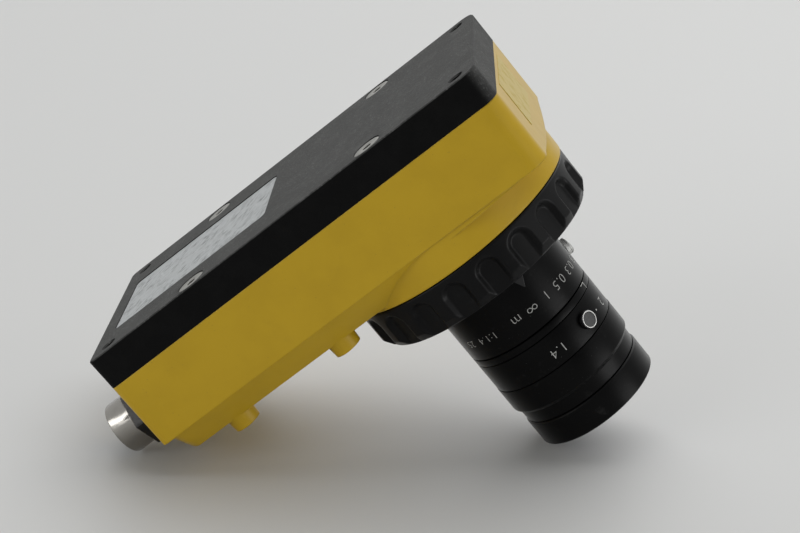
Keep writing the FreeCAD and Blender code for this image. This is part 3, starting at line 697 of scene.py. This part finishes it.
def makePort(name, own):
    s = portShape
    bore, sleeve = own["bore"], own["sleeve"]
    bottom = [(bore, s["seat"])]
    lip = [(bore, s["front"] + 0.25), (bore + 0.2, s["front"]), (sleeve - 0.55, s["front"]),
           (sleeve - 0.16, s["front"] + 0.16), (sleeve, s["front"] + 0.55)]
    if own["outside"]:
        screw = portThread(s["front"] + 0.9, s["flange"] - 0.5, sleeve, s["outCut"])
        tube = bottom + lip + screw
    else:
        screw = portThread(s["front"] + 1.0, s["seat"] - 0.4, bore, s["inCut"])
        tube = bottom + screw[::-1] + lip
    flange = [(sleeve, s["flange"]), (s["flangeR"], s["flange"]), (s["corner"], s["flange"] + 0.35),
              (s["corner"], s["panel"]), (s["stub"], s["panel"]), (s["stub"], s["end"]),
              (s["inner"], s["end"]), (s["inner"], s["seat"])]

    def place(turn, r, x):
        reach = min(r * hexagon(turn), s["cornerCut"]) if r > s["hexagonR"] else r
        y = own["side"] * s["y"] + reach * math.cos(turn)
        return Vector((x, y, -s["depth"] + reach * math.sin(turn))) * mm
    bm = swept(tube + flange, s["segments"], place)
    piece = newPiece(name, bm, "shell", "camera", [own["node"]], 28)
    # the hex flange is near black, much darker than the sleeve of the same shell
    piece.data.materials.append(finishes["flange"])
    for part in piece.data.polygons:
        part.material_index = int(part.center.x > (s["flange"] + 0.3) * mm)


makeCoverScrews()
for name, own in portSides.items():
    makePort(name, own)
print("screws and connectors made")


# words on the scales: text, turn, depth, height, body
scaleMarks = {
    "markMetres": ("m", -88.4, 54.8, 2.5, "focus_part"),
    "markInfinity": ("∞", -73.3, 55.2, 2.5, "focus_part"),
    "markOne": ("1", -57.4, 55.2, 2.4, "focus_part"),
    "markHalf": ("0.5", -40.6, 55.4, 2.4, "focus_part"),
    "markThird": ("0.3", -20.0, 55.6, 2.4, "focus_part"),
    "markNear": ("0.23", 3.0, 55.6, 2.4, "focus_part"),
    "markLens": ("1:1.4  25", -127.0, 55.2, 1.9, "focus_part"),
    "markWide": ("1.4", -78.7, 67.0, 2.4, "iris_part"),
    "markTwo": ("2", -14.5, 67.3, 2.4, "iris_part"),
}
markStyle = {"radius": 16.8, "proud": 0.03, "sunk": 0.05, "strip": 0.35, "size": 1.38,
             "thin": -0.06, "spacing": 1.12, "steps": 6}


def scaleMark(name, words, turn, depth, height, body):
    curve = bpy.data.curves.new(name, "FONT")
    curve.body = words
    curve.size = height * markStyle["size"]
    curve.align_x = "CENTER"
    curve.offset = markStyle["thin"]
    curve.space_character = markStyle["spacing"]
    curve.resolution_u = markStyle["steps"]
    holder = bpy.data.objects.new(name + "Flat", curve)
    bpy.context.scene.collection.objects.link(holder)
    ready = holder.evaluated_get(bpy.context.evaluated_depsgraph_get())
    flat = bpy.data.meshes.new_from_object(ready)
    bpy.data.objects.remove(holder)
    bm = bmesh.new()
    bm.from_mesh(flat)
    bpy.data.meshes.remove(flat)
    wrapMark(name, bm, turn, depth, body)


# flat drawing, x round the barrel and y along it, wrapped on the ring
def wrapMark(name, bm, turn, depth, body):
    s = markStyle
    left, right = min(v.co.x for v in bm.verts), max(v.co.x for v in bm.verts)
    low, top = min(v.co.y for v in bm.verts), max(v.co.y for v in bm.verts)
    cut = left + s["strip"]
    while cut < right:
        every = list(bm.verts) + list(bm.edges) + list(bm.faces)
        bmesh.ops.bisect_plane(bm, geom=every, plane_co=(cut, 0, 0), plane_no=(1, 0, 0))
        cut += s["strip"]
    sheet = bmesh.ops.extrude_face_region(bm, geom=list(bm.faces))
    lifted = {v for v in sheet["geom"] if isinstance(v, bmesh.types.BMVert)}
    for v in bm.verts:
        across = v.co.x - (left + right) / 2
        along = v.co.y - (top + low) / 2
        r = s["radius"] + (s["proud"] if v in lifted else -s["sunk"])
        v.co = aboutLens(math.radians(turn) - across / s["radius"], r, depth + along)
    newPiece(name, bm, "mark", body)


# index lines, and dots where both are the same: width round the barrel, length along it,
# turn, depth, body
indexMarks = {
    "markIndex": (0.24, 1.7, -18.9, 61.3, "lens_cell"),
    "markFoot": (1.9, 0.16, -22.0, 60.55, "lens_cell"),
    "markDot": (0.45, 0.45, -28.3, 67.1, "iris_part"),
}
dotSides = 16


def lineMark(name, width, length, turn, depth, body):
    x, y = width / 2, length / 2
    corners = [(-x, -y), (x, -y), (x, y), (-x, y)]
    if width == length:
        turns = [2 * math.pi * a / dotSides for a in range(dotSides)]
        corners = [(x * math.cos(t), x * math.sin(t)) for t in turns]
    bm = bmesh.new()
    bm.faces.new([bm.verts.new((*corner, 0)) for corner in corners])
    wrapMark(name, bm, turn, depth, body)


for name, mark in scaleMarks.items():
    scaleMark(name, *mark)
for name, mark in indexMarks.items():
    lineMark(name, *mark)
print("scale marks made:", len(scaleMarks) + len(indexMarks))

# the camera rests on its lens rim and connector end, so the floor is tilted to them
stageLook = {"tilt": 40.0, "touch": (8.0, -88.0), "gap": 0.0002,
             "ambient": (0.97, 1.0, 1.0), "ambientStrength": 0.26, "pale": (0.62, 0.625, 0.62)}
tilt = math.radians(stageLook["tilt"])
up = Vector((math.sin(tilt), 0, math.cos(tilt)))
side = Vector((math.cos(tilt), 0, -math.sin(tilt)))
touch = Vector((stageLook["touch"][0], 0, stageLook["touch"][1])) * mm
origin = touch - up * stageLook["gap"]


def stagePoint(along, across, height):
    return origin + side * along + Vector((0, 1, 0)) * across + up * height


def flatSheet(name, spots, material):
    bm = bmesh.new()
    bm.faces.new([bm.verts.new(stagePoint(*spot)) for spot in spots])
    mesh = bpy.data.meshes.new(name)
    bm.to_mesh(mesh)
    bm.free()
    mesh.materials.append(material)
    sheet = bpy.data.objects.new(name, mesh)
    bpy.context.scene.collection.objects.link(sheet)
    return sheet


# the floor can be seen through from below, and fades out far from the object
def makeFloor():
    look = {"colour": (0.635, 0.633, 0.625), "rough": 0.5, "gloss": 0.4, "half": 3.0,
            "fade": (0.6, 1.9)}
    f = Finish("floorPaint", look["colour"], look["rough"], gloss=look["gloss"])
    clear = f.add("ShaderNodeBsdfTransparent", {}, {})
    below = f.add("ShaderNodeNewGeometry", {}, {}, "Backfacing")
    far = f.add("ShaderNodeVectorMath", {"operation": "DISTANCE"}, {0: f.place, 1: origin}, "Value")
    hidden = f.add("ShaderNodeMath", {"operation": "MAXIMUM"},
                   {0: below, 1: f.step(far, *look["fade"])})
    paint = Value(f, f.shader.outputs[0])
    shown = f.add("ShaderNodeMixShader", {}, {0: hidden, 1: paint, 2: clear})
    f.feed(f.tree.nodes["Material Output"].inputs["Surface"], shown)
    half = look["half"]
    spots = [(-half, -half, 0), (half, -half, 0), (half, half, 0), (-half, half, 0)]
    flatSheet("floor", spots, f.material)


# dark finishes mirror a black card in front; the view and the light go through it
card = {"along": 0.9, "across": -0.7, "low": 0.1, "high": 0.46, "colour": (0.02, 0.02, 0.02),
        "rough": 0.9, "grain": 8.0}


def makeCard():
    along, across, low, high = (card[key] for key in ("along", "across", "low", "high"))
    spots = [(-along, across, low), (along, across, low), (along, across, high),
             (-along, across, high)]
    paper = grainy("cardPaper", card["colour"], card["rough"], card["grain"])
    sheet = flatSheet("card", spots, paper)
    sheet.visible_camera = sheet.visible_diffuse = sheet.visible_shadow = False


# lamps: where it stands (along, across, height), its width and length, and its power
lamps = {
    "overhead": ((0.12, 0.6, 1.15), (2.1, 1.9), 17.5),
    "front": ((-0.9, -0.9, 0.42), (0.8, 0.7), 3.4),
    "right": ((1.0, -0.45, 0.12), (0.6, 0.24), 3.1),
    "left": ((-1.0, -0.35, 0.12), (0.6, 0.24), 1.4),
}
aimHeight = 0.02


def softLamp(name, spot, size, power):
    light = bpy.data.lights.new(name, "AREA")
    light.shape = "RECTANGLE"
    light.size, light.size_y = size
    light.energy = power
    lamp = bpy.data.objects.new(name, light)
    lamp.location = stagePoint(*spot)
    aim = stagePoint(0, 0, aimHeight) - lamp.location
    lamp.rotation_mode = "QUATERNION"
    lamp.rotation_quaternion = aim.to_track_quat("-Z", "Y")
    bpy.context.scene.collection.objects.link(lamp)


# what the camera, metal and glass see is pale; the rest only lights the object
def makeWorld():
    world = bpy.data.worlds.new("studio")
    world.use_nodes = True
    tree = world.node_tree
    tree.nodes.clear()
    ambient = tree.nodes.new("ShaderNodeBackground")
    ambient.inputs["Color"].default_value = (*stageLook["ambient"], 1)
    ambient.inputs["Strength"].default_value = stageLook["ambientStrength"]
    pale = tree.nodes.new("ShaderNodeBackground")
    pale.inputs["Color"].default_value = (*stageLook["pale"], 1)
    rays = tree.nodes.new("ShaderNodeLightPath")
    seen = rays.outputs["Is Camera Ray"]
    for kind in ("Is Glossy Ray", "Is Transmission Ray"):
        most = tree.nodes.new("ShaderNodeMath")
        most.operation = "MAXIMUM"
        tree.links.new(seen, most.inputs[0])
        tree.links.new(rays.outputs[kind], most.inputs[1])
        seen = most.outputs[0]
    both = tree.nodes.new("ShaderNodeMixShader")
    result = tree.nodes.new("ShaderNodeOutputWorld")
    tree.links.new(seen, both.inputs[0])
    tree.links.new(ambient.outputs[0], both.inputs[1])
    tree.links.new(pale.outputs[0], both.inputs[2])
    tree.links.new(both.outputs[0], result.inputs["Surface"])
    bpy.context.scene.world = world


cameraView = {"lens": 85.473, "sensor": 36, "clip": (0.01, 40), "eye": (107.674, -424.564, 72.009),
              "right": (0.78080, 0.03036, -0.62404), "down": (-0.58355, -0.32137, -0.74578),
              "ahead": (-0.22319, 0.94647, -0.23321)}


def makeCamera():
    camera = bpy.data.cameras.new("camera")
    camera.sensor_width = cameraView["sensor"]
    camera.lens = cameraView["lens"]
    camera.clip_start, camera.clip_end = cameraView["clip"]
    eye = bpy.data.objects.new("camera", camera)
    right, down, ahead = (Vector(cameraView[key]) for key in ("right", "down", "ahead"))
    axes = Matrix((right, -down, -ahead)).transposed()
    eye.matrix_world = Matrix.Translation(Vector(cameraView["eye"]) * mm) @ axes.to_4x4()
    bpy.context.scene.collection.objects.link(eye)
    bpy.context.scene.camera = eye


makeFloor()
makeCard()
for name, lamp in lamps.items():
    softLamp(name, *lamp)
makeWorld()
makeCamera()
bpy.context.scene.view_settings.view_transform = "Standard"
print("stage made")
